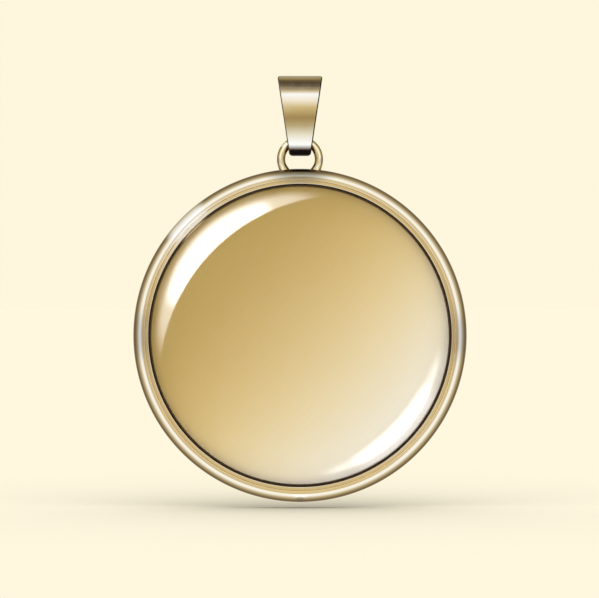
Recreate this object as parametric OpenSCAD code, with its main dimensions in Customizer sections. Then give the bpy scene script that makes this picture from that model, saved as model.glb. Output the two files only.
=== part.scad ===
// Disc pendant: a round tray with a glass dome over a satin gold face, a ring
// soldered to its rim, and a tapered strap bail that the ring swings in.
// Millimetres, +Z up, +X right, the face looks along -Y.
// The origin is the top of the bail's inside, where a chain bears.

/* [Glass dome] */
// Diameter of the glass
glass_d = 25; // [20:0.1:32]
// Height of the glass's straight edge
glass_edge_h = 0.95; // [0.6:0.05:1.15]
// How far the dome rises above that edge
glass_rise = 3.2; // [2.5:0.1:6]

/* [Face plate] */
// Thickness of the gold face under the glass
plate_t = 0.3; // [0.2:0.05:0.45]
// How far the plate's edge stays in from the glass's edge
plate_inset = 0.1; // [0:0.05:0.5]
// Gap left between pieces that lie on each other
seat_gap = 0.03; // [0.01:0.01:0.06]

/* [Tray and rim] */
// Width of the dark groove between the glass and the tray's wall
groove_w = 0.22; // [0.1:0.01:0.4]
// Width of the rim, from the groove to its outer edge
rim_w = 1.28; // [1.2:0.01:1.6]
// Width of the flat ledge inside the rounded bead
ledge_w = 0.3; // [0.15:0.01:0.4]
// Height of the ledge above the back
ledge_h = 2.1; // [1.9:0.05:2.2]
// Radius of the rounded bead along the rim
bead_r = 0.75; // [0.7:0.01:0.85]
// Height of the bead's centre above the back
bead_h = 1.55; // [1.45:0.01:1.7]
// How far the side wall stands in from the bead's outer edge
wall_inset = 0.15; // [0.08:0.01:0.25]
// Thickness of the tray's floor
floor_t = 0.6; // [0.4:0.05:0.8]
// Radius of the rounded edge round the back
back_edge_r = 0.3; // [0.1:0.05:0.5]

/* [Ring] */
// Diameter of the ring's hole
ring_hole_d = 2.48; // [2.4:0.01:3]
// Diameter of the ring's wire
ring_wire_d = 0.7; // [0.5:0.01:0.8]
// Height of the ring's centre above the rim's outer edge
ring_rise = 0.8; // [0.7:0.01:1.1]
// Height of the ring's plane above the back of the tray
ring_plane_h = 1.4; // [1.3:0.05:1.5]

/* [Bail] */
// Height of the bail over all
bail_h = 6.74; // [6:0.01:9]
// Width of the bail at its top
bail_top_w = 3.82; // [3:0.01:5]
// Thickness of the strap
bail_t = 0.4; // [0.3:0.01:0.5]
// Inner radius of the bend at the top
bail_head_r = 1.1; // [0.8:0.01:1.3]
// Outer radius of the bulged front and back
bail_bulge_r = 8.2; // [6:0.1:14]
// Gap between the strap's edges and the ring's hole, measured across at the foot
foot_side_gap = 0.09; // [0.07:0.01:0.2]
// Gap between the ring's wire and the foot under it
foot_play = 0.57; // [0.5:0.01:0.65]
// Gap between the ring's wire and the bend in front of it and behind it
foot_reach = 0.75; // [0.72:0.01:0.85]
// Size of the cut across the corners at the top
head_corner = 0.13; // [0.05:0.01:0.3]
// Size of the cut across the corners at the foot
foot_corner = 0.2; // [0.05:0.01:0.3]

/* [Hidden] */
$fn = 96;
gold = "#c8a860";
satin_gold = "#d2b478";
clear_glass = "#eef3f2";

// Radii of the medallion, worked out from the glass outwards
glass_r = glass_d / 2;
tray_r = glass_r + groove_w;
rim_r = tray_r + rim_w;
wall_r = rim_r - wall_inset;
bead_at = rim_r - bead_r;
plate_r = glass_r - plate_inset;

// Heights above the back of the tray
plate_h = floor_t + seat_gap;
glass_h = plate_h + plate_t + seat_gap;
glass_top_h = glass_h + glass_edge_h + glass_rise;
dome_r = (glass_r * glass_r + glass_rise * glass_rise) / (2 * glass_rise);

// The ring, and how far its wire lies below and beside the bends of the bail
wire_r = ring_wire_d / 2;
hole_r = ring_hole_d / 2;
ring_r = hole_r + wire_r;
foot_r = wire_r + foot_reach;
foot_drop = wire_r + foot_play;

// Heights along Z, from the inside of the bail's top downwards
bail_top_z = bail_t;
bail_foot_z = bail_top_z - bail_h;
head_z = -bail_head_r;
foot_z = bail_foot_z + bail_t + foot_r;
wire_z = bail_foot_z + bail_t + foot_drop;
ring_z = wire_z - ring_r;
disc_z = ring_z - ring_rise - rim_r;

// The strap's half width where the foot meets the ring's hole, and at the top
foot_level = ring_r - foot_drop;
foot_half_w = sqrt(hole_r * hole_r - foot_level * foot_level) - foot_side_gap;
foot_level_z = wire_z - foot_drop;
top_half_w = bail_top_w / 2;
strap_slope = (top_half_w - foot_half_w) / (bail_top_z - foot_level_z);

// The large arcs of the bail's front and back touch both end bends.
// bulge_back is how far behind the bends their centre lies, bulge_up its height above the lower bend.
head_out_r = bail_head_r + bail_t;
foot_out_r = foot_r + bail_t;
to_head = bail_bulge_r - head_out_r;
to_foot = bail_bulge_r - foot_out_r;
bends_apart = head_z - foot_z;
bulge_up = (bends_apart * bends_apart - to_head * to_head + to_foot * to_foot) / (2 * bends_apart);
bulge_back = sqrt(to_foot * to_foot - bulge_up * bulge_up);
head_turn = asin((bends_apart - bulge_up) / to_head);
foot_turn = asin(bulge_up / to_foot);

// How far helper shapes run past what they cut
over = 0.5;

// Half width of the bail at height z.
function strap_half_w(z) = foot_half_w + strap_slope * (z - foot_level_z);

// The point at distance d and angle a from point p.
function polar(p, d, a) = [p[0] + d * cos(a), p[1] + d * sin(a)];

// A stretch of the strap's section: the band outside radius r about a centre, inside a wedge.
module strap_arc(centre, r, wedge) {
    intersection() {
        translate(centre)
            difference() {
                circle(r + bail_t);
                circle(r);
            }
        polygon(wedge);
    }
}

// The strap's closed section, seen from the side: X is forwards here and Y is up.
module strap_section() {
    head = [0, head_z];
    foot = [0, foot_z];
    reach = head_out_r + foot_out_r;
    head_front = polar(head, reach, head_turn);
    head_back = polar(head, reach, 180 - head_turn);
    foot_front = polar(foot, reach, -foot_turn);
    foot_back = polar(foot, reach, 180 + foot_turn);
    strap_arc(head, bail_head_r, [head, head_front, [reach, reach], [-reach, reach], head_back]);
    strap_arc(foot, foot_r, [foot, foot_back, [-reach, foot_z - reach], [reach, foot_z - reach], foot_front]);
    for (side = [1, -1]) {
        strap_arc([-side * bulge_back, foot_z + bulge_up], bail_bulge_r - bail_t,
            side > 0 ? [head, foot, foot_front, head_front] : [foot, head, head_back, foot_back]);
    }
}

// The bail's outline from the front. Its ends stand past the strap, so that only its sides and corners cut.
module strap_outline() {
    head_low = bail_top_z - head_corner;
    foot_high = bail_foot_z + foot_corner;
    head_w = strap_half_w(head_low);
    foot_w = strap_half_w(foot_high);
    head_end_w = head_w - head_corner - over;
    foot_end_w = foot_w - foot_corner - over;
    polygon([
        [head_w, head_low], [head_end_w, bail_top_z + over],
        [-head_end_w, bail_top_z + over], [-head_w, head_low],
        [-foot_w, foot_high], [-foot_end_w, bail_foot_z - over],
        [foot_end_w, bail_foot_z - over], [foot_w, foot_high]
    ]);
}

module bail() {
    color(gold)
        intersection() {
            rotate([90, 0, -90])
                linear_extrude(bail_top_w + 2 * over, center = true)
                    strap_section();
            rotate([90, 0, 0])
                linear_extrude(2 * bail_bulge_r, center = true)
                    strap_outline();
        }
}

// Turns a profile of radius and height above the back into the medallion's place, face forwards.
module turned() {
    translate([0, ring_plane_h, disc_z])
        rotate([90, 0, 0])
            rotate_extrude()
                children();
}

// Half of the tray's section: floor and wall, the ledge, and the bead that rounds the rim.
module tray_profile() {
    difference() {
        union() {
            square([wall_r, floor_t]);
            translate([tray_r, 0])
                square([wall_r - tray_r, bead_h]);
            translate([tray_r, 0])
                square([bead_at - tray_r, ledge_h]);
            intersection() {
                translate([bead_at, bead_h])
                    circle(bead_r);
                translate([tray_r + ledge_w, 0])
                    square([rim_w, bead_h + 2 * bead_r]);
            }
        }
        back_edge_cut();
    }
}

// What rounding the back edge takes away.
module back_edge_cut() {
    edge_at = wall_r - back_edge_r;
    difference() {
        translate([edge_at, -over])
            square([back_edge_r + over, back_edge_r + over]);
        translate([edge_at, back_edge_r])
            circle(back_edge_r);
    }
}

module setting() {
    color(gold) {
        turned()
            tray_profile();
        translate([0, 0, ring_z])
            rotate([90, 0, 0])
                rotate_extrude()
                    translate([ring_r, 0])
                        circle(wire_r);
    }
}

module face_plate() {
    color(satin_gold)
        turned()
            translate([0, plate_h])
                square([plate_r, plate_t]);
}

module glass_dome() {
    color(clear_glass, 0.5)
        turned()
            intersection() {
                translate([0, glass_h])
                    square([glass_r, glass_edge_h + glass_rise + over]);
                translate([0, glass_top_h - dome_r])
                    circle(dome_r);
            }
}

bail();
setting();
face_plate();
glass_dome();
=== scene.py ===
"""Looks for the disc pendant: gold-plated bail, tray and ring, satin face plate, domed glass.

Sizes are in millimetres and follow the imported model. Meshes are drawn in millimetres
and brought to metres as they are put in place.
"""

import logging
import math
from dataclasses import dataclass, field
from enum import Enum, IntEnum

import bmesh
import bpy
from mathutils import Matrix, Vector


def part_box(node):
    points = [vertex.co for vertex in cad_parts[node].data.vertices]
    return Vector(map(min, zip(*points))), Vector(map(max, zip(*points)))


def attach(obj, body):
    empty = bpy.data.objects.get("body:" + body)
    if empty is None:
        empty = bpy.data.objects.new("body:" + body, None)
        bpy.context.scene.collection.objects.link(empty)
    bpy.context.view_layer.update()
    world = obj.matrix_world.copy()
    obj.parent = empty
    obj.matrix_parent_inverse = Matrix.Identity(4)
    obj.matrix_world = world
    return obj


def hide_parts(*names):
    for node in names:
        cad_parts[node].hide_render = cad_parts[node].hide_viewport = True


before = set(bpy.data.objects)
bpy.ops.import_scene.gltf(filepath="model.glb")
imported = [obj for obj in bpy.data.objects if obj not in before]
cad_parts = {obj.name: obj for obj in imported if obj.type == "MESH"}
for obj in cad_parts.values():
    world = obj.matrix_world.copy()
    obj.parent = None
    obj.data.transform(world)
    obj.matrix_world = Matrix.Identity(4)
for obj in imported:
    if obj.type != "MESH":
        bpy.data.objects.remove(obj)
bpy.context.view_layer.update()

MM = 0.001
LOG = logging.getLogger("pendant")
# The metals' own colours, which the room's light is worked out from
TRAY_GOLD, BAIL_GOLD, FACE_GOLD = "f1cf8f", "bc9d66", "e7c482"
# Numbers of the Mix node's colour sockets, whose names its other sockets share
COLOUR_A, COLOUR_B, MIXED = 6, 7, 2
# Vertices closer than this are merged
MERGE_MM = 1e-4
# Axes of a distance in the plane of the face
IN_FACE = (1.0, 0.0, 1.0)

Colour = tuple[float, float, float, float]
Tones = tuple[tuple[float, str], ...]
Step = tuple[str | float, ...]


class Node(str, Enum):
    """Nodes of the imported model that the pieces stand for."""

    BAIL = "bail"
    SETTING = "setting"
    FACE = "face_plate"
    GLASS = "glass_dome"


class Body(str, Enum):
    """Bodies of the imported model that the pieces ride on."""

    BAIL = "bail_body"
    MEDALLION = "medallion_body"


class Slot(str, Enum):
    """Material slots of the record."""

    GOLD = "gold"
    SATIN = "satin_gold"
    GLASS = "glass"


def linear(code: str, gain: float = 1.0) -> Colour:
    """Turns an sRGB hex value to linear light.

    Args:
        code: The colour as six hex digits.
        gain: What the linear value is multiplied by.

    Returns:
        Red, green, blue and an alpha of one.
    """
    parts = [int(code[i:i + 2], 16) / 255 for i in (0, 2, 4)]
    lit = [c / 12.92 if c <= 0.04045 else ((c + 0.055) / 1.055) ** 2.4 for c in parts]
    return (lit[0] * gain, lit[1] * gain, lit[2] * gain, 1.0)


def add_node(tree: bpy.types.NodeTree, kind: str, settings: dict[str, object] | None = None,
             links: dict[str | int, object] | None = None) -> bpy.types.Node:
    """Adds a node with its settings, and its inputs linked or set.

    Args:
        tree: The node tree.
        kind: The node's type without its common prefix.
        settings: Names and values of the node's own settings.
        links: Names or numbers of inputs, each with a socket to link or a value to set.

    Returns:
        The new node.
    """
    node = tree.nodes.new("ShaderNode" + kind)
    for name, value in (settings or {}).items():
        setattr(node, name, value)
    for name, value in (links or {}).items():
        if isinstance(value, bpy.types.NodeSocket):
            tree.links.new(value, node.inputs[name])
        else:
            node.inputs[name].default_value = value
    return node


# Finishes


def blank_material(name: str) -> tuple[bpy.types.Material, bpy.types.NodeTree, bpy.types.Node]:
    """Makes a material that holds nothing but its shader.

    Args:
        name: The material's name.

    Returns:
        The material, its node tree and its shader.
    """
    made = bpy.data.materials.new(name)
    made.use_nodes = True
    return made, made.node_tree, made.node_tree.nodes["Principled BSDF"]


@dataclass(frozen=True)
class Skin:
    """A skin over part of a finish, by the distance from a centre along chosen axes.

    It starts at clear_mm and is whole at full_mm, which may be the nearer of the two.
    """

    centre_mm: tuple[float, float, float]
    axes: tuple[float, float, float]
    clear_mm: float
    full_mm: float
    tone: str
    roughness: float

    def over(self, tree: bpy.types.NodeTree, place: bpy.types.NodeSocket, colour: bpy.types.NodeSocket,
             gloss: bpy.types.NodeSocket | float) -> tuple[bpy.types.NodeSocket, bpy.types.NodeSocket]:
        """Lays the skin over a finish.

        Args:
            tree: The material's node tree.
            place: The place on the object.
            colour: The finish's colour.
            gloss: The finish's roughness.

        Returns:
            Colour and roughness with the skin.
        """
        moved = add_node(tree, "VectorMath", {"operation": "SUBTRACT"}, {
            0: place, 1: Vector(self.centre_mm) * MM})
        kept = add_node(tree, "VectorMath", {"operation": "MULTIPLY"}, {
            0: moved.outputs[0], 1: self.axes})
        away = add_node(tree, "VectorMath", {"operation": "LENGTH"}, {0: kept.outputs[0]})
        share = add_node(tree, "MapRange", {"interpolation_type": "SMOOTHSTEP"}, {
            "Value": away.outputs["Value"], "From Min": self.clear_mm * MM,
            "From Max": self.full_mm * MM})
        tone = add_node(tree, "Mix", {"data_type": "RGBA"}, {
            "Factor": share.outputs[0], COLOUR_A: colour, COLOUR_B: linear(self.tone)})
        rough = add_node(tree, "MapRange", links={
            "Value": share.outputs[0], "To Min": gloss, "To Max": self.roughness})
        return tone.outputs[MIXED], rough.outputs["Result"]


@dataclass(frozen=True)
class PolishedGoldPlate:
    """Gold plate on brass, buffed and lacquered: a warm mirror, slightly cloudy from rubbing.

    Each piece may carry darker skins that are painted shade, where less light reaches it or where a
    glint is hidden.
    """

    name: str = "polished_gold_plate"
    plate: str = TRAY_GOLD
    rubbed_and_painted_light: str = "f3d39a"
    roughness: tuple[float, float] = (0.05, 0.08)
    cloud_mm: float = 2.5
    # Real buffing lines are about 0.01 mm apart. They are drawn five times as coarse.
    buff_mm: float = 0.05
    # Darker skins of painted shade, laid over the plate
    painted_shades: tuple[Skin, ...] = ()

    def material(self) -> bpy.types.Material:
        """Builds the node material.

        Returns:
            The material.
        """
        made, tree, shader = blank_material(self.name)
        place = add_node(tree, "TexCoord").outputs["Object"]
        cloud = add_node(tree, "TexNoise", links={
            "Vector": place, "Scale": 1 / (self.cloud_mm * MM), "Detail": 3.0, "Roughness": 0.55})
        tone = add_node(tree, "Mix", {"data_type": "RGBA"}, {
            "Factor": cloud.outputs[0], COLOUR_A: linear(self.plate), COLOUR_B: linear(self.rubbed_and_painted_light)})
        rough = add_node(tree, "MapRange", links={
            "Value": cloud.outputs[0], "From Min": 0.3, "From Max": 0.7,
            "To Min": self.roughness[0], "To Max": self.roughness[1]})
        colour, gloss = tone.outputs[MIXED], rough.outputs["Result"]
        for skin in self.painted_shades:
            colour, gloss = skin.over(tree, place, colour, gloss)
        lines = add_node(tree, "TexNoise", links={
            "Vector": place, "Scale": 1 / (self.buff_mm * MM), "Detail": 2.0})
        raised = add_node(tree, "Bump", links={
            "Height": lines.outputs[0], "Strength": 0.06, "Distance": 0.002 * MM})
        tree.links.new(colour, shader.inputs["Base Color"])
        tree.links.new(gloss, shader.inputs["Roughness"])
        tree.links.new(raised.outputs[0], shader.inputs["Normal"])
        shader.inputs["Metallic"].default_value = 1.0
        return made


@dataclass(frozen=True)
class Patina:
    """Patina left in grooves, and painted shade along the bail's edges: darker, blotchy and less sharp.
    """

    name: str = "groove_patina"
    thick: str = "5e482a"
    worn: str = "6e5632"
    roughness: float = 0.2
    blotch_mm: float = 0.6
    # A skin laid over the patina, such as painted light
    other: Skin | None = None

    def material(self) -> bpy.types.Material:
        """Builds the node material.

        Returns:
            The material.
        """
        made, tree, shader = blank_material(self.name)
        place = add_node(tree, "TexCoord").outputs["Object"]
        blotches = add_node(tree, "TexNoise", links={
            "Vector": place, "Scale": 1 / (self.blotch_mm * MM), "Detail": 4.0})
        tone = add_node(tree, "Mix", {"data_type": "RGBA"}, {
            "Factor": blotches.outputs[0], COLOUR_A: linear(self.thick), COLOUR_B: linear(self.worn)})
        colour = tone.outputs[MIXED]
        shader.inputs["Roughness"].default_value = self.roughness
        if self.other:
            colour, gloss = self.other.over(tree, place, colour, self.roughness)
            tree.links.new(gloss, shader.inputs["Roughness"])
        tree.links.new(colour, shader.inputs["Base Color"])
        shader.inputs["Metallic"].default_value = 1.0
        return made


@dataclass(frozen=True)
class SatinGoldPlate:
    """Gold plate over a brass disc rubbed with fine abrasive: soft broad sheen, no clear reflections.

    The strokes run from the upper left to the lower right, so light spreads across them.
    """

    name: str = "satin_gold_plate"
    plate: str = "eac888"
    deep: str = "e4c07c"
    roughness: tuple[float, float] = (0.28, 0.33)
    # Real strokes are about 0.02 mm wide. They are drawn at about a pixel so that they just show.
    stroke_mm: float = 0.09
    stroke_ratio: float = 0.06
    lean_deg: float = 45.0
    # A painted shade along the plate's edge
    painted_edge_shade: Skin | None = None

    def material(self) -> bpy.types.Material:
        """Builds the node material.

        Returns:
            The material.
        """
        made, tree, shader = blank_material(self.name)
        place = add_node(tree, "TexCoord").outputs["Object"]
        turned = add_node(tree, "Mapping", links={
            "Vector": place, "Rotation": (0.0, math.radians(self.lean_deg), 0.0)})
        drawn = add_node(tree, "Mapping", links={
            "Vector": turned.outputs[0], "Scale": (self.stroke_ratio, 1.0, 1.0)})
        strokes = add_node(tree, "TexNoise", links={
            "Vector": drawn.outputs[0], "Scale": 1 / (self.stroke_mm * MM), "Detail": 2.0})
        tone = add_node(tree, "Mix", {"data_type": "RGBA"}, {
            "Factor": strokes.outputs[0], COLOUR_A: linear(self.deep), COLOUR_B: linear(self.plate)})
        rough = add_node(tree, "MapRange", links={
            "Value": strokes.outputs[0], "From Min": 0.3, "From Max": 0.7,
            "To Min": self.roughness[0], "To Max": self.roughness[1]})
        raised = add_node(tree, "Bump", links={
            "Height": strokes.outputs[0], "Strength": 0.1, "Distance": 0.002 * MM})
        colour, gloss = tone.outputs[MIXED], rough.outputs["Result"]
        if self.painted_edge_shade:
            colour, gloss = self.painted_edge_shade.over(tree, place, colour, gloss)
        tree.links.new(colour, shader.inputs["Base Color"])
        tree.links.new(gloss, shader.inputs["Roughness"])
        tree.links.new(raised.outputs[0], shader.inputs["Normal"])
        shader.inputs["Metallic"].default_value = 1.0
        return made


@dataclass(frozen=True)
class ClearGlass:
    """Pressed and fire-polished crown glass: clear and sharp, its skin very slightly wavy."""

    name: str = "clear_glass"
    tint: str = "fdfffe"
    ior: float = 1.5
    wave_mm: float = 6.0

    def material(self) -> bpy.types.Material:
        """Builds the node material.

        Returns:
            The material.
        """
        made, tree, shader = blank_material(self.name)
        place = add_node(tree, "TexCoord").outputs["Object"]
        waves = add_node(tree, "TexNoise", links={
            "Vector": place, "Scale": 1 / (self.wave_mm * MM), "Detail": 0.0})
        skin = add_node(tree, "Bump", links={
            "Height": waves.outputs[0], "Strength": 0.05, "Distance": 0.05 * MM})
        shader.inputs["Base Color"].default_value = linear(self.tint)
        shader.inputs["Roughness"].default_value = 0.0
        shader.inputs["IOR"].default_value = self.ior
        shader.inputs["Transmission Weight"].default_value = 1.0
        tree.links.new(skin.outputs[0], shader.inputs["Normal"])
        return made


# Drawing and placing


class SectionPen:
    """Draws a section in the XZ plane of a bmesh with extruded and spun vertices."""

    def __init__(self, mesh: bmesh.types.BMesh, x: float, z: float) -> None:
        """Sets the pen down.

        Args:
            mesh: The bmesh to draw in.
            x: First coordinate in millimetres.
            z: Second coordinate in millimetres.
        """
        self.mesh = mesh
        self.tip = bmesh.ops.create_vert(mesh, co=(x, 0.0, z))["vert"][0]

    def line(self, x: float, z: float, steps: int = 1) -> None:
        """Draws a straight line.

        Args:
            x: Where it ends, first coordinate.
            z: Where it ends, second coordinate.
            steps: Number of edges.
        """
        step = (Vector((x, 0.0, z)) - self.tip.co) / steps
        for _ in range(steps):
            made = bmesh.ops.extrude_vert_indiv(self.mesh, verts=[self.tip])
            self.tip = made["verts"][0]
            bmesh.ops.translate(self.mesh, verts=[self.tip], vec=step)

    def flat(self, x: float, z: float, steps: int = 1, hold: float = 0.02) -> None:
        """Draws a line that stays flat in smooth shading, by short edges near both of its ends.

        Args:
            x: Where it ends, first coordinate.
            z: Where it ends, second coordinate.
            steps: Number of edges between the short ones.
            hold: Length of the short edges.
        """
        end = Vector((x, 0.0, z))
        run = end - self.tip.co
        edge = run.normalized() * min(hold, run.length / 4)
        first, last = self.tip.co + edge, end - edge
        self.line(first.x, first.z)
        self.line(last.x, last.z, steps)
        self.line(x, z)

    def arc(self, x: float, z: float, degrees: float, steps: int) -> None:
        """Draws an arc from the tip.

        Args:
            x: The arc's centre, first coordinate.
            z: The arc's centre, second coordinate.
            degrees: How far it turns, from X towards Z where positive.
            steps: Number of edges.
        """
        made = bmesh.ops.spin(
            self.mesh, geom=[self.tip], cent=(x, 0.0, z), axis=(0.0, -1.0, 0.0),
            angle=math.radians(degrees), steps=steps)
        self.tip = next(v for v in made["geom_last"] if isinstance(v, bmesh.types.BMVert))


def spin_round(mesh: bmesh.types.BMesh, steps: int) -> None:
    """Turns the drawn section about Z into a closed solid.

    Args:
        mesh: The bmesh with the section's edges.
        steps: Number of faces round.
    """
    bmesh.ops.spin(
        mesh, geom=mesh.verts[:] + mesh.edges[:], cent=(0.0, 0.0, 0.0), axis=(0.0, 0.0, 1.0),
        angle=math.tau, steps=steps, use_merge=True)
    bmesh.ops.remove_doubles(mesh, verts=mesh.verts[:], dist=MERGE_MM)
    bmesh.ops.recalc_face_normals(mesh, faces=mesh.faces[:])


@dataclass
class Placement:
    """Where a drawn piece goes: from its own axes in millimetres to the shared frame in metres."""

    turn: Matrix
    to_mm: Vector

    def put(self, mesh: bmesh.types.BMesh, name: str) -> bpy.types.Object:
        """Makes the finished object, with its place in its mesh.

        Args:
            mesh: The drawn bmesh, which is freed.
            name: The piece's name.

        Returns:
            The linked object.
        """
        bmesh.ops.transform(
            mesh, verts=mesh.verts[:],
            matrix=Matrix.Scale(MM, 4) @ Matrix.Translation(self.to_mm) @ self.turn)
        data = bpy.data.meshes.new(name)
        mesh.to_mesh(data)
        mesh.free()
        data.polygons.foreach_set("use_smooth", [True] * len(data.polygons))
        piece = bpy.data.objects.new(name, data)
        bpy.context.scene.collection.objects.link(piece)
        return piece


@dataclass
class Medallion:
    """Where the round parts sit: the disc's centre, the plane of its back and the ring's top."""

    centre_z: float = field(init=False)
    back_y: float = field(init=False)
    top_z: float = field(init=False)

    def __post_init__(self) -> None:
        """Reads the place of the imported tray."""
        low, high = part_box(Node.SETTING.value)
        self.back_y = high.y / MM
        self.centre_z = low.z / MM + high.x / MM
        self.top_z = high.z / MM

    def placement(self) -> Placement:
        """Returns the placement that turns a piece to face forwards."""
        return Placement(
            Matrix.Rotation(math.radians(90), 4, "X"), Vector((0.0, self.back_y, self.centre_z)))


def hand_over(piece: bpy.types.Object, body: Body, node: Node,
              finishes: list[bpy.types.Material]) -> bpy.types.Object:
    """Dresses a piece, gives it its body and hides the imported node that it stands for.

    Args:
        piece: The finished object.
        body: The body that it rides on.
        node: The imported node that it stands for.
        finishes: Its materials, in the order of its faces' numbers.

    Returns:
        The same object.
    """
    for finish in finishes:
        piece.data.materials.append(finish)
    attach(piece, body.value)
    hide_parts(node.value)
    return piece


# The pendant's parts


class SettingSkin(IntEnum):
    """Numbers of the setting's finishes."""

    TRAY = 0
    GROOVE = 1
    CREASE = 2
    RING = 3


@dataclass
class Setting:
    """The round tray with its bead, ledge and groove, and the ring soldered to its rim."""

    medallion: Medallion
    # The wall stands 0.04 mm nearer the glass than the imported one, because its rounded edge
    # widens the groove.
    tray_r: float = 12.68
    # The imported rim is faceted, so the drawn one stays 3 micrometres inside its 14 mm.
    rim_r: float = 13.997
    wall_r: float = 13.85
    bead_r: float = 0.75
    bead_h: float = 1.55
    ledge_out_r: float = 12.97
    ledge_h: float = 2.1
    floor_h: float = 0.6
    back_edge_r: float = 0.3
    small_r: float = 0.035
    groove_edge_r: float = 0.08
    # Share of the groove's rounded edge that has the groove's patina
    groove_edge_share: float = 0.6
    # How far the bead's crown falls towards the ledge
    crown_fall: float = 0.012
    fillet_r: float = 0.12
    round_steps: int = 288
    ring_r: float = 1.59
    wire_r: float = 0.35
    # The solder reaches this far above the rim and thickens the wire by this share.
    solder_rise: float = 0.45
    solder_swell: float = 0.1
    # How far below the disc's centre the bead carries a painted shade over a glint
    glint_shade_r: float = 13.64

    def tray_mesh(self) -> bmesh.types.BMesh:
        """Returns the tray, turned from its section about Z with its back at height 0."""
        mesh = bmesh.new()
        bead_x = self.rim_r - self.bead_r
        small = self.small_r
        shoulder_x = self.ledge_out_r + small
        pen = SectionPen(mesh, 0.0, 0.0)
        pen.flat(self.wall_r - self.back_edge_r, 0.0, steps=12)
        pen.arc(self.wall_r - self.back_edge_r, self.back_edge_r, 90, steps=10)
        # A concave fillet joins the wall to the underside of the bead.
        reach = self.bead_r + self.fillet_r
        fillet_x = self.wall_r + self.fillet_r
        under = math.sqrt(reach ** 2 - (fillet_x - bead_x) ** 2)
        meet = math.degrees(math.atan2(-under, fillet_x - bead_x))
        fillet_h = self.bead_h - under
        pen.flat(self.wall_r, fillet_h, steps=3)
        pen.arc(fillet_x, fillet_h, meet, steps=8)
        pen.arc(bead_x, self.bead_h, 90 - meet, steps=56)
        fallen_h = self.bead_h + self.bead_r - self.crown_fall
        pen.line(shoulder_x + small, fallen_h, steps=6)
        pen.arc(shoulder_x + small, fallen_h - small, 90, steps=5)
        pen.flat(shoulder_x, self.ledge_h + small)
        pen.arc(self.ledge_out_r, self.ledge_h + small, -90, steps=5)
        pen.flat(self.tray_r + self.groove_edge_r, self.ledge_h, steps=3)
        pen.arc(self.tray_r + self.groove_edge_r, self.ledge_h - self.groove_edge_r, 90, steps=5)
        pen.flat(self.tray_r, self.floor_h, steps=6)
        pen.flat(0.0, self.floor_h, steps=4)
        spin_round(mesh, self.round_steps)
        for face in mesh.faces:
            spot = face.calc_center_median()
            out = spot.xy.length
            if spot.z < self.floor_h - small:
                continue
            if out < self.tray_r + self.groove_edge_r * self.groove_edge_share:
                face.material_index = SettingSkin.GROOVE
            elif self.ledge_out_r < out < shoulder_x + small:
                face.material_index = SettingSkin.CREASE
        return mesh

    def ring_mesh(self, centre_z: float) -> bmesh.types.BMesh:
        """Draws the ring about its own centre, with the solder swelling where it meets the rim.

        Args:
            centre_z: Height of the ring's centre above the disc's centre.

        Returns:
            The ring in the frame's axes, about the disc's centre.
        """
        mesh = bmesh.new()
        wire = bmesh.ops.create_circle(mesh, segments=40, radius=self.wire_r)["verts"]
        bmesh.ops.rotate(mesh, verts=wire, matrix=Matrix.Rotation(math.radians(90), 3, "X"))
        bmesh.ops.translate(mesh, verts=wire, vec=(self.ring_r, 0.0, 0.0))
        bmesh.ops.rotate(
            mesh, verts=wire, cent=(0, 0, 0), matrix=Matrix.Rotation(math.radians(90), 3, "X"))
        bmesh.ops.spin(
            mesh, geom=mesh.verts[:] + mesh.edges[:], cent=(0, 0, 0), axis=(0, 1, 0),
            angle=math.tau, steps=160, use_merge=True)
        bmesh.ops.remove_doubles(mesh, verts=mesh.verts[:], dist=MERGE_MM)
        bmesh.ops.recalc_face_normals(mesh, faces=mesh.faces[:])
        for vert in mesh.verts:
            spoke = Vector((vert.co.x, 0.0, vert.co.z)).normalized() * self.ring_r
            rim_gap = math.hypot(spoke.x, spoke.z + centre_z) - self.rim_r
            share = min(1.0, max(0.0, 1 - rim_gap / self.solder_rise))
            # Both ends of the swelling run out smoothly.
            swell = 1 + self.solder_swell * share * share * (3 - 2 * share)
            vert.co = spoke + (vert.co - spoke) * swell
        bmesh.ops.translate(mesh, verts=mesh.verts[:], vec=(0.0, 0.0, centre_z))
        for face in mesh.faces:
            face.material_index = SettingSkin.RING
        return mesh

    def build(self) -> bpy.types.Object:
        """Builds the tray with its ring as one piece.

        Returns:
            The piece.
        """
        ring_z = self.medallion.top_z - self.wire_r - self.ring_r
        ring = self.ring_mesh(ring_z - self.medallion.centre_z)
        place = self.medallion.placement()
        upright = place.turn.inverted() @ Matrix.Translation((0.0, -place.to_mm.y, 0.0))
        bmesh.ops.transform(ring, verts=ring.verts[:], matrix=upright)
        ring_data = bpy.data.meshes.new("ring_part")
        ring.to_mesh(ring_data)
        ring.free()
        mesh = self.tray_mesh()
        mesh.from_mesh(ring_data)
        bpy.data.meshes.remove(ring_data)
        piece = place.put(mesh, "tray_and_ring")
        return hand_over(
            piece, Body.MEDALLION, Node.SETTING, self.finishes(ring_z))

    def finishes(self, ring_z: float) -> list[bpy.types.Material]:
        """Makes the tray's and the ring's materials.

        Args:
            ring_z: Height of the ring's centre.

        Returns:
            The materials, in the order of SettingSkin.
        """
        disc_z = self.medallion.centre_z
        # The rim's top round the ring's joint is painted a greyer, darker gold: painted shade from the
        # ring and bail above it.
        painted_top_shade = Skin(
            centre_mm=(0.0, 0.0, disc_z + self.rim_r), axes=(0.45, 0.0, 1.0),
            clear_mm=1.7, full_mm=0.6, tone="a08a5e", roughness=0.16)
        # The lowest spot of the bead is painted darker: painted shade that hides a glint of the bail's
        # light there.
        painted_glint_shade = Skin(
            centre_mm=(0.0, 0.0, disc_z - self.glint_shade_r), axes=(0.6, 0.0, 1.0),
            clear_mm=0.28, full_mm=0.1, tone="cea968", roughness=0.12)
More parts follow.
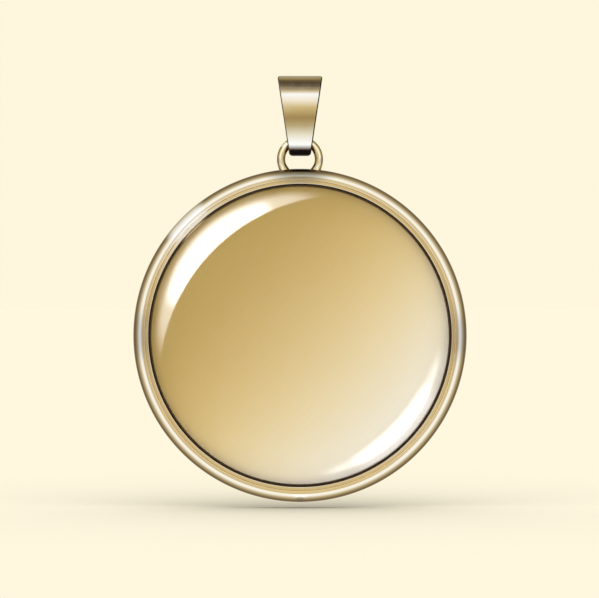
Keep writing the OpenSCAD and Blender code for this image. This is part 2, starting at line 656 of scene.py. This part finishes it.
        # The inside of the ring is painted a deeper gold: painted shade where it faces the bail's foot.
        inside = Skin(
            centre_mm=(0.0, 0.0, ring_z), axes=IN_FACE,
            clear_mm=1.66, full_mm=1.48, tone="d2aa60", roughness=0.24)
        # Groove and crease are painted lighter for a short way at the upper left: painted light where
        # the upper-left box catches them.
        diagonal = self.tray_r * math.sqrt(0.5)
        painted_light_at = (-diagonal, 0.0, disc_z + diagonal)
        rubbed_and_painted_light = Skin(
            centre_mm=painted_light_at, axes=IN_FACE, clear_mm=1.9, full_mm=0.5, tone="e0be86", roughness=0.12)
        painted_crease_light = Skin(
            centre_mm=painted_light_at, axes=IN_FACE, clear_mm=2.15, full_mm=1.5, tone="fff0bc", roughness=0.3)
        made = (
            PolishedGoldPlate(name="polished_gold_plate_tray", painted_shades=(painted_top_shade, painted_glint_shade)),
            Patina(other=rubbed_and_painted_light),
            Patina(
                name="crease_patina", thick="d8a850", worn="e6ba66", roughness=0.5, other=painted_crease_light),
            PolishedGoldPlate(
                name="polished_gold_plate_ring", plate="ffd98c", rubbed_and_painted_light="ffdd96",
                painted_shades=(inside,)))
        return [finish.material() for finish in made]


@dataclass
class FacePlate:
    """The satin gold disc under the glass."""

    medallion: Medallion
    radius: float = 12.4
    low: float = 0.63
    thickness: float = 0.3
    edge_r: float = 0.06
    # How far up and left of the disc's centre the plate's unshaded middle lies
    shade_shift: float = 0.1

    def build(self) -> bpy.types.Object:
        """Builds the disc with its edge slightly rounded.

        Returns:
            The piece.
        """
        mesh = bmesh.new()
        high, edge = self.low + self.thickness, self.edge_r
        pen = SectionPen(mesh, 0.0, self.low)
        pen.flat(self.radius - edge, self.low, steps=4)
        pen.arc(self.radius - edge, self.low + edge, 90, steps=4)
        pen.line(self.radius, high - edge)
        pen.arc(self.radius - edge, high - edge, 90, steps=4)
        pen.flat(0.0, high, steps=16)
        spin_round(mesh, steps=192)
        piece = self.medallion.placement().put(mesh, "satin_face")
        # The plate's border is painted darker, most of all at the bottom: painted shade along the
        # groove.
        shift = self.shade_shift
        painted_edge_shade = Skin(
            centre_mm=(-shift, 0.0, self.medallion.centre_z + shift), axes=IN_FACE,
            clear_mm=11.55, full_mm=12.6, tone="d4b27a", roughness=0.33)
        return hand_over(
            piece, Body.MEDALLION, Node.FACE, [SatinGoldPlate(painted_edge_shade=painted_edge_shade).material()])


@dataclass
class GlassDome:
    """The round glass, bonded to the face: flat base, straight edge and a domed front."""

    medallion: Medallion
    radius: float = 12.5
    base_h: float = 0.92
    top_h: float = 5.11
    rise: float = 3.2
    edge_r: float = 0.12
    base_cut: float = 0.06

    def build(self) -> bpy.types.Object:
        """Builds the glass with a softened edge.

        Returns:
            The piece.
        """
        mesh = bmesh.new()
        dome_r = (self.radius ** 2 + self.rise ** 2) / (2 * self.rise)
        centre_h = self.top_h - dome_r
        edge_x = self.radius - self.edge_r
        edge_h = centre_h + math.sqrt((dome_r - self.edge_r) ** 2 - edge_x ** 2)
        turn = math.degrees(math.atan2(edge_h - centre_h, edge_x))
        pen = SectionPen(mesh, 0.0, self.base_h)
        pen.flat(self.radius - self.base_cut, self.base_h, steps=8)
        pen.arc(self.radius - self.base_cut, self.base_h + self.base_cut, 90, steps=4)
        pen.flat(self.radius, edge_h, steps=3)
        pen.arc(edge_x, edge_h, turn, steps=6)
        pen.arc(0.0, centre_h, 90 - turn, steps=64)
        spin_round(mesh, steps=288)
        piece = self.medallion.placement().put(mesh, "domed_glass")
        return hand_over(
            piece, Body.MEDALLION, Node.GLASS, [ClearGlass().material()])


class BailSkin(IntEnum):
    """Numbers of the bail's finishes."""

    STRAP = 0
    EDGE = 1
    SIDE = 2


@dataclass
class Bail:
    """The tapered strap, bent into a loop with a bulged front and back."""

    height: float = 6.74
    strap_t: float = 0.4
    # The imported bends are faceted, so the drawn ones stay a micrometre inside their 1.5 mm.
    bend_r: float = 1.499
    skin: float = 0.001
    bulge_r: float = 8.2
    foot_level_z: float = -5.94
    foot_half_w: float = 0.953
    top_half_w: float = 1.91
    head_corner: float = 0.22
    foot_corner: float = 0.2
    edge_soft: float = 0.085
    # Faces that meet at more than this are an edge to be rounded.
    edge_turn_deg: float = 50.0
    # Faces that look along the strap's width by more than this are its sides.
    side_lean: float = 0.95

    def half_width(self, z: float) -> float:
        """Half width of the strap with its rounded corners.

        Args:
            z: Height in millimetres, 0 at the inside of the top.

        Returns:
            Half of the width there.
        """
        top, foot = self.strap_t, self.strap_t - self.height
        slope = (self.top_half_w - self.foot_half_w) / (top - self.foot_level_z)
        width = self.foot_half_w + slope * (z - self.foot_level_z)
        for corner, gap in ((self.head_corner, top - z), (self.foot_corner, z - foot)):
            if gap < corner:
                width -= corner - math.sqrt(max(0.0, corner ** 2 - (corner - gap) ** 2))
        return width

    def strap_mesh(self) -> bmesh.types.BMesh:
        """Returns the strap with sharp edges: its loop, drawn in XZ and as wide along Y as it is."""
        mesh = bmesh.new()
        head_z = self.strap_t - self.skin - self.bend_r
        foot_z = self.strap_t - self.height + self.skin + self.bend_r
        middle_z = (head_z + foot_z) / 2
        reach = self.bulge_r - self.bend_r
        half = (head_z - foot_z) / 2
        turn = math.degrees(math.asin(half / reach))
        behind = math.sqrt(reach ** 2 - half ** 2)
        start = math.radians(180 - turn)
        pen = SectionPen(
            mesh, self.bend_r * math.cos(start), head_z + self.bend_r * math.sin(start))
        pen.arc(0.0, head_z, -(180 - 2 * turn), steps=64)
        pen.arc(-behind, middle_z, -2 * turn, steps=40)
        pen.arc(0.0, foot_z, -(180 - 2 * turn), steps=64)
        pen.arc(behind, middle_z, -2 * turn, steps=40)
        bmesh.ops.remove_doubles(mesh, verts=mesh.verts[:], dist=MERGE_MM)
        # The loop is a millimetre wide to each side, which the strap's half width then scales.
        bmesh.ops.translate(mesh, verts=mesh.verts[:], vec=(0.0, -1.0, 0.0))
        grown = bmesh.ops.extrude_edge_only(mesh, edges=mesh.edges[:])["geom"]
        moved = [part for part in grown if isinstance(part, bmesh.types.BMVert)]
        bmesh.ops.translate(mesh, verts=moved, vec=(0.0, 2.0, 0.0))
        bmesh.ops.recalc_face_normals(mesh, faces=mesh.faces[:])
        face = mesh.faces[:][0]
        if face.normal.dot(face.calc_center_median() - Vector((0.0, 0.0, middle_z))) < 0:
            bmesh.ops.reverse_faces(mesh, faces=mesh.faces[:])
        bmesh.ops.solidify(mesh, geom=mesh.faces[:], thickness=self.strap_t)
        for vert in mesh.verts:
            vert.co.y *= self.half_width(vert.co.z)
        bmesh.ops.recalc_face_normals(mesh, faces=mesh.faces[:])
        return mesh

    def soften(self, mesh: bmesh.types.BMesh) -> None:
        """Rounds the strap's edges and numbers its faces by finish.

        Args:
            mesh: The strap with sharp edges.
        """
        rims = [
            edge for edge in mesh.edges
            if len(edge.link_faces) == 2
            and edge.calc_face_angle(0.0) > math.radians(self.edge_turn_deg)]
        softened = bmesh.ops.bevel(
            mesh, geom=rims, offset=self.edge_soft, offset_type="OFFSET", affect="EDGES",
            segments=4, profile=0.5, material=-1)
        for face in softened["faces"]:
            face.material_index = BailSkin.EDGE
        for face in mesh.faces:
            if abs(face.normal.y) > self.side_lean:
                face.material_index = BailSkin.SIDE
        # The flats keep their own shading, so that they mirror evenly across.
        for edge in mesh.edges:
            edge.smooth = len({face.material_index for face in edge.link_faces}) == 1

    def finishes(self) -> list[bpy.types.Material]:
        """Makes the strap's materials.

        Returns:
            The materials, in the order of BailSkin.
        """
        # The foot turns under and is painted near black there: painted shade under the foot.
        painted_foot_shade = Skin(
            centre_mm=(0.0, 0.0, 0.0), axes=(0.0, 0.0, 1.0),
            clear_mm=5.74, full_mm=5.92, tone="2e2528", roughness=0.4)
        # The right-hand edges are painted darker still: painted shade on the side away from the light.
        painted_right_shade = Skin(
            centre_mm=(-10.0, 0.0, 0.0), axes=(1.0, 0.0, 0.0),
            clear_mm=9.5, full_mm=10.5, tone="120d06", roughness=0.35)
        made = (
            PolishedGoldPlate(
                name="polished_gold_plate_bail", plate=BAIL_GOLD, rubbed_and_painted_light="ceae74",
                painted_shades=(painted_foot_shade,)),
            # The rounded edges are painted darker: painted shade along them
            Patina(
                name="edge_painted_shade", thick="86704a", worn="967e54", roughness=0.35, other=painted_right_shade),
            Patina(name="side_patina", thick="7e6840", worn="8e764a", roughness=0.35))
        return [finish.material() for finish in made]

    def build(self) -> bpy.types.Object:
        """Builds the strap.

        Returns:
            The piece.
        """
        mesh = self.strap_mesh()
        self.soften(mesh)
        place = Placement(Matrix.Rotation(math.radians(-90), 4, "Z"), Vector((0.0, 0.0, 0.0)))
        piece = place.put(mesh, "bail_strap")
        return hand_over(piece, Body.BAIL, Node.BAIL, self.finishes())


# The studio


def length_steps(name: str, across: str, along: str) -> list[Step]:
    """Lists the sums for the length that two others span.

    Args:
        name: The length's name.
        across: The first sum's name.
        along: The second sum's name.

    Returns:
        The sums in order.
    """
    return [
        (name + "_part", "MULTIPLY", across, across),
        (name + "_square", "MULTIPLY_ADD", along, along, name + "_part"),
        (name, "SQRT", name + "_square")]


@dataclass
class Studio:
    """Pale floor, plain soft light and the camera."""

    centre_z: float
    cream: str = "fef6dd"
    # The floor lies this far below the disc's centre, half a millimetre under its rim.
    floor_drop: float = 14.5
    floor_m: float = 12.0
    lens_mm: float = 214.6
    # To the right of the disc's centre, behind it and above it
    camera_mm: tuple[float, float, float] = (-0.042, -300.0, 3.054)
    # Shares of the floor's light that come from the sky and from the lamp
    sky: float = 0.7
    lamp: float = 0.3
    # The metal sends little light back to the floor.
    bounce: float = 0.1
    lamp_angle: float = 90.0
    lamp_tilt: float = 30.0
    # Share of the leaning lamp's light that a level floor takes
    lamp_reach: float = 0.823
    # What the tray shows, by the angle from the front of the light that it mirrors: gold straight in
    # front, a broad pale ring of light, a brown shade beside the piece and gold behind it
    round_tones: Tones = (
        (0, "ccac6a"), (3, "ceb070"), (10, "f6eed6"), (36, "f8f2dc"), (50, "dccca4"), (75, "a69268"),
        (110, "6e5a38"), (135, "76623c"), (150, "9a8454"), (165, "d8c08a"), (180, "c8ae78"))
    # The same for light from straight left and right, where the ring of light is dim
    side_tones: Tones = (
        (0, "8a764e"), (3, "8a764e"), (10, "b6b0a4"), (20, "d0cdc8"), (36, "d0cdc8"), (50, "b6ae9c"),
        (75, "8e7c5a"), (100, "6c5a3c"), (135, "76623c"), (180, "c8ae78"))
    # The same for light from the box at the upper left
    corner_tones: Tones = (
        (0, "fffcf2"), (30, "fffefa"), (75, "e8e0ca"), (110, "c8bc9c"), (150, "9a8454"),
        (180, "c8ae78"))
    # What the bail shows in the upright plane, from down behind, over the front, to up behind: a soft
    # box low in front, a gold gap, a box above it with a sharp warm upper edge, and a dark ceiling
    upright_tones: Tones = (
        (-180, "a08c60"), (-140, "48391f"), (-110, "5a4a30"), (-70, "8c8986"), (-45, "fffffa"),
        (-30, "fcfcf6"), (-20, "e2d8be"), (-10, "aa945e"), (0, "988050"), (12, "c8ae6e"),
        (20, "f0e2c8"), (28, "fdfbf6"), (31, "ccb88c"), (34, "806a42"), (45, "3a2e1e"),
        (70, "2e261c"), (90, "5c4a30"), (110, "9a8656"), (180, "a08c60"))
    # What the face shows, by how far its light through the glass leans to the upper left: from gold
    # to white. These tones are for a dimmer light: face_gain makes up for it.
    face_gain: float = 1.3
    face_tones: Tones = (
        (-1.0, "a48846"), (-0.4, "a48846"), (-0.3, "987c3a"), (0.0, "d2af64"), (0.25, "e1d2a8"),
        (0.5, "e7e4e0"), (1.0, "e7e4e0"))
    # The glass mirrors one part in 25 of what stands before it
    glass_gain: float = 28.0
    glass_dim: float = 0.05
    # Radius of the dome, less what the camera's nearness takes, to place the boxes by where it shows
    # them, and how far up they show because the camera stands above the disc's centre
    dome_mm: float = 24.93
    dome_up_mm: float = 0.13
    # Each box has a hollow inner edge: how far its circle lies off the centre, and that circle's radius
    upper_box_mm: tuple[float, float] = (5.4, 15.55)
    # The upper box's bright middle has a round outer edge too, off the centre the other way.
    upper_bulge_mm: tuple[float, float] = (2.25, 9.65)
    lower_box_mm: tuple[float, float] = (5.0, 15.85)
    lower_box_deg: float = -44.0

    def floor(self) -> bpy.types.Object:
        """Lays the pale floor.

        Returns:
            The floor.
        """
        mesh = bmesh.new()
        bmesh.ops.create_grid(mesh, x_segments=8, y_segments=8, size=self.floor_m / 2)
        bmesh.ops.translate(
            mesh, verts=mesh.verts[:], vec=(0.0, 0.0, (self.centre_z - self.floor_drop) * MM))
        data = bpy.data.meshes.new("floor")
        mesh.to_mesh(data)
        mesh.free()
        floor = bpy.data.objects.new("floor", data)
        bpy.context.scene.collection.objects.link(floor)
        card, _, shader = blank_material("matt_card")
        shader.inputs["Base Color"].default_value = linear(
            self.cream, 1 / (self.sky + self.lamp))
        shader.inputs["Roughness"].default_value = 1.0
        shader.inputs["Specular IOR Level"].default_value = 0.0
        data.materials.append(card)
        floor.visible_glossy = False
        floor.visible_transmission = False
        return floor

    def light(self) -> None:
        """Adds the soft lamp overhead."""
        data = bpy.data.lights.new("overhead", "SUN")
        data.energy = self.lamp * math.pi / self.lamp_reach
        data.angle = math.radians(self.lamp_angle)
        lamp = bpy.data.objects.new("overhead", data)
        lamp.rotation_euler = (math.radians(self.lamp_tilt), 0.0, 0.0)
        lamp.visible_glossy = False
        lamp.visible_transmission = False
        bpy.context.scene.collection.objects.link(lamp)

    def camera(self) -> None:
        """Places the camera level, straight in front of the disc."""
        data = bpy.data.cameras.new("camera")
        data.sensor_width = 36.0
        data.lens = self.lens_mm
        data.clip_start, data.clip_end = 0.01, 20.0
        camera = bpy.data.objects.new("camera", data)
        x, y, rise = self.camera_mm
        camera.location = Vector((x, y, self.centre_z + rise)) * MM
        camera.rotation_euler = (math.radians(90), 0.0, 0.0)
        bpy.context.scene.collection.objects.link(camera)
        bpy.context.scene.camera = camera

    def seen_in(self, metal: str, shown: str) -> Colour:
        """Works out the light that shows as a colour in a metal.

        Args:
            metal: The metal's own colour.
            shown: The colour that its reflection is to show.

        Returns:
            The light's colour.
        """
        own, want = linear(metal), linear(shown)
        return (want[0] / own[0], want[1] / own[1], want[2] / own[2], 1.0)

    def tone_ramp(self, tree: bpy.types.NodeTree, along: bpy.types.NodeSocket,
                  tones: Tones, span: tuple[float, float], metal: str,
                  unit: float = 1.0) -> bpy.types.NodeSocket:
        """Adds a ramp of light colours.

        Args:
            tree: The world's node tree.
            along: What the ramp is read by.
            tones: Places on the span, each with the colour that the metal shows there. The first
                and the last are the span's ends.
            span: Lowest and highest place.
            metal: The metal's own colour.
            unit: What the places are counted in.

        Returns:
            The ramp's colour.
        """
        low, high = span
        share = add_node(tree, "MapRange", links={
            "Value": along, "From Min": low * unit, "From Max": high * unit})
        ramp = add_node(tree, "ValToRGB", links={0: share.outputs[0]})
        # A new ramp already has its two ends.
        stops = ramp.color_ramp.elements
        stops[0].color = self.seen_in(metal, tones[0][1])
        stops[1].color = self.seen_in(metal, tones[-1][1])
        for place, shown in tones[1:-1]:
            stops.new((place - low) / (high - low)).color = self.seen_in(metal, shown)
        return ramp.outputs["Color"]

    def metal_steps(self) -> list[Step]:
        """Lists the sums that place what the metal mirrors: a name, an operation and its values.

        X, Y and Z are the direction. FADE goes smoothly from 0 to 1 as its value goes from the
        second number to the third.

        Returns:
            The sums in order.
        """
        # The camera stands above the disc's centre, so the disc mirrors round a point below the axis.
        above = -self.camera_mm[2] / self.camera_mm[1]
        return [
            ("ahead", "MULTIPLY", "Y", -1.0),
            ("polar", "ARCCOSINE", "ahead"),
            ("climb", "ARCTAN2", "Z", "ahead"),
            ("up", "ADD", "Z", above),
            *length_steps("out", "X", "up"),
            ("rise", "DIVIDE", "up", "out"),
            ("rise_size", "ABSOLUTE", "rise"),
            ("x_size", "ABSOLUTE", "X"),
            ("across", "SUBTRACT", "up", "X"),
            ("lean", "MULTIPLY", "across", math.sqrt(0.5)),
            ("lean_share", "DIVIDE", "lean", "out"),
            # A narrow upright strip, for the bail
            ("upright", "FADE", "x_size", 0.014, 0.008),
            # Straight left and right, clear of the strip
            ("side_on", "FADE", "rise_size", 0.2, 0.06),
            ("side_off", "FADE", "x_size", 0.015, 0.03),
            ("side", "MULTIPLY", "side_on", "side_off"),
            # The upper left, with a gap that keeps it off the line beside the ledge
            ("corner_on", "FADE", "lean_share", 0.985, 0.9965),
            ("corner_in", "FADE", "out", 0.015, 0.03),
            ("corner_gap", "FADE", "out", 0.065, 0.055),
            ("corner_low", "MULTIPLY", "corner_in", "corner_gap"),
            ("corner_high", "FADE", "out", 0.12, 0.18),
            ("corner_band", "MAXIMUM", "corner_low", "corner_high"),
            ("corner_far", "MULTIPLY", "corner_on", "corner_band"),
            # A little of the lower right, which that line mirrors at the upper left
            ("facing_on", "FADE", "lean_share", -0.985, -0.9965),
            ("facing_in", "FADE", "out", 0.045, 0.06),
            ("facing_out", "FADE", "out", 0.22, 0.15),
            ("facing_band", "MULTIPLY", "facing_in", "facing_out"),
            ("facing", "MULTIPLY", "facing_on", "facing_band"),
            ("corner", "MAXIMUM", "corner_far", "facing"),
        ]

    def glass_steps(self) -> list[Step]:
        """Lists the sums that place what the glass mirrors and lets through, as metal_steps does.

        HX and HZ are the slope of a mirror that shows the direction to the front.

        Returns:
            The sums in order.
        """
        low = math.radians(self.lower_box_deg)
        low_x, low_z = math.cos(low), math.sin(low)
        upper_off, upper_r = self.upper_box_mm
        lower_off, lower_r = self.lower_box_mm
        shift = upper_off * math.sqrt(0.5)
        bulge, bulge_r = self.upper_bulge_mm[0] * math.sqrt(0.5), self.upper_bulge_mm[1]
        return [
            # Where on the dome the direction shows
            ("px", "MULTIPLY", "HX", self.dome_mm),
            ("pz", "MULTIPLY_ADD", "HZ", self.dome_mm, self.dome_up_mm),
            *length_steps("from_top", "px", "pz"),
            # The box at the upper left: a bright middle and two dim ends
            ("ux", "SUBTRACT", "px", shift),
            ("uz", "ADD", "pz", shift),
            *length_steps("from_hollow", "ux", "uz"),
            ("upper_in", "FADE", "from_hollow", upper_r - 0.12, upper_r + 0.12),
            ("upper_out", "FADE", "from_top", 12.25, 11.4),
            ("upper_tail", "FADE", "lean_share", 0.53, 0.8),
            ("upper_body", "FADE", "lean_share", 0.82, 0.9),
            ("qx", "ADD", "px", bulge),
            ("qz", "SUBTRACT", "pz", bulge),
            *length_steps("from_bulge", "qx", "qz"),
            ("body_edge", "FADE", "from_bulge", bulge_r + 0.4, bulge_r - 0.6),
            ("body_out", "MULTIPLY_ADD", "body_edge", 0.93, 0.07),
            ("tail_band", "MULTIPLY", "upper_tail", "upper_out"),
            ("tail_light", "MULTIPLY", "tail_band", 0.35),
            ("body_band", "MULTIPLY", "upper_body", "body_out"),
            ("upper_band", "MULTIPLY_ADD", "body_band", 0.65, "tail_light"),
            ("upper", "MULTIPLY", "upper_band", "upper_in"),
            # The box at the lower right, with dim ends too
            ("lx", "ADD", "px", lower_off * low_x),
            ("lz", "ADD", "pz", lower_off * low_z),
            *length_steps("from_low", "lx", "lz"),
            ("low_z", "MULTIPLY", "Z", low_z),
            ("low_lean", "MULTIPLY_ADD", "X", low_x, "low_z"),
            ("low_share", "DIVIDE", "low_lean", "out"),
            ("lower_in", "FADE", "from_low", lower_r - 0.4, lower_r + 0.55),
            ("lower_edge", "FADE", "from_top", 12.0, 11.5),
            ("lower_out", "MULTIPLY_ADD", "lower_edge", 0.8, 0.2),
            ("lower_tail", "FADE", "low_share", 0.766, 0.88),
            ("lower_body", "FADE", "low_share", 0.91, 0.98),
            ("lower_tails", "MULTIPLY", "lower_tail", 0.3),
            ("lower_ends", "MULTIPLY_ADD", "lower_body", 0.7, "lower_tails"),
            ("lower_band", "MULTIPLY", "lower_in", "lower_out"),
            ("lower", "MULTIPLY", "lower_band", "lower_ends"),
            ("boxes", "MAXIMUM", "upper", "lower"),
            ("mirrored", "MULTIPLY_ADD", "boxes", self.glass_gain, self.glass_dim),
            # Light at a slant loses more on its way through the glass, so it starts brighter
            ("near_edge", "FADE", "out", 0.3, 0.65),
            ("edge_gain", "MULTIPLY_ADD", "near_edge", 0.35 * self.face_gain, self.face_gain),
        ]

    def world(self) -> None:
        """Builds the room's light: a plain sky for the floor, soft boxes for what reflects."""
        world = bpy.data.worlds.new("studio")
        bpy.context.scene.world = world
        world.use_nodes = True
        world.cycles.sampling_method = "NONE"
        tree = world.node_tree
        tree.nodes.clear()
        ray = add_node(tree, "LightPath").outputs
        way = add_node(tree, "TexCoord").outputs["Generated"]
        axes = add_node(tree, "SeparateXYZ", links={0: way}).outputs
        halfway = add_node(tree, "VectorMath", {"operation": "ADD"}, {0: way, 1: (0.0, -1.0, 0.0)})
        slope = add_node(tree, "VectorMath", {"operation": "NORMALIZE"}, {0: halfway.outputs[0]})
        tilt = add_node(tree, "SeparateXYZ", links={0: slope.outputs[0]}).outputs
        known = {"X": axes["X"], "Y": axes["Y"], "Z": axes["Z"], "HX": tilt["X"], "HZ": tilt["Z"]}
        for name, kind, *values in self.metal_steps() + self.glass_steps():
            feeds = [known[value] if isinstance(value, str) else value for value in values]
            if kind == "FADE":
                step = add_node(tree, "MapRange", {"interpolation_type": "SMOOTHSTEP"}, {
                    "Value": feeds[0], "From Min": feeds[1], "From Max": feeds[2]})
            else:
                step = add_node(tree, "Math", {"operation": kind}, dict(enumerate(feeds)))
            known[name] = step.outputs[0]

        lights = {
            name: self.tone_ramp(
                tree, known[along], tones, (lowest, 180.0), metal, unit=math.radians(1))
            for name, along, tones, lowest, metal in (
                ("round", "polar", self.round_tones, 0.0, TRAY_GOLD),
                ("upright", "climb", self.upright_tones, -180.0, BAIL_GOLD),
                ("side", "polar", self.side_tones, 0.0, TRAY_GOLD),
                ("corner", "polar", self.corner_tones, 0.0, TRAY_GOLD))}
        face_light = self.tone_ramp(tree, known["lean"], self.face_tones, (-1.0, 1.0), FACE_GOLD)
        through = add_node(tree, "VectorMath", {"operation": "SCALE"}, {
            0: face_light, "Scale": known["edge_gain"]})
        mirrored = add_node(tree, "CombineColor", links={
            0: known["mirrored"], 1: known["mirrored"], 2: known["mirrored"]})
        sharp = add_node(tree, "Math", {"operation": "MULTIPLY"}, {
            0: ray["Is Singular Ray"], 1: ray["Is Reflection Ray"]})
        bounced = add_node(tree, "Math", {"operation": "GREATER_THAN"}, {
            0: ray["Diffuse Depth"], 1: 0.5})
        # Each light stands in for those before it, by its share.
        seen = lights["round"]
        for share, light in (
                (known["upright"], lights["upright"]),
                (known["side"], lights["side"]),
                (known["corner"], lights["corner"]),
                (ray["Is Transmission Ray"], through.outputs[0]),
                (sharp.outputs[0], mirrored.outputs[0]),
                (bounced.outputs[0], (self.bounce, self.bounce, self.bounce, 1.0)),
                (ray["Is Diffuse Ray"], (self.sky, self.sky, self.sky, 1.0)),
                (ray["Is Camera Ray"], linear(self.cream))):
            seen = add_node(tree, "Mix", {"data_type": "RGBA"}, {
                "Factor": share, COLOUR_A: seen, COLOUR_B: light}).outputs[MIXED]
        shine = add_node(tree, "Background", links={"Color": seen, "Strength": 1.0})
        add_node(tree, "OutputWorld", links={"Surface": shine.outputs[0]})

    def build(self) -> None:
        """Sets up floor, lamp, room and camera, with plain colour handling."""
        self.floor()
        self.light()
        self.world()
        self.camera()
        bpy.context.scene.view_settings.view_transform = "Standard"


def main() -> None:
    """Builds the pendant and the studio in order."""
    logging.basicConfig(level=logging.INFO, format="%(name)s: %(message)s")
    medallion = Medallion()
    for maker in (Bail(), Setting(medallion), FacePlate(medallion), GlassDome(medallion)):
        piece = maker.build()
        LOG.info("%s: %d faces", piece.name, len(piece.data.polygons))
    Studio(medallion.centre_z).build()


if __name__ == "__main__":
    main()
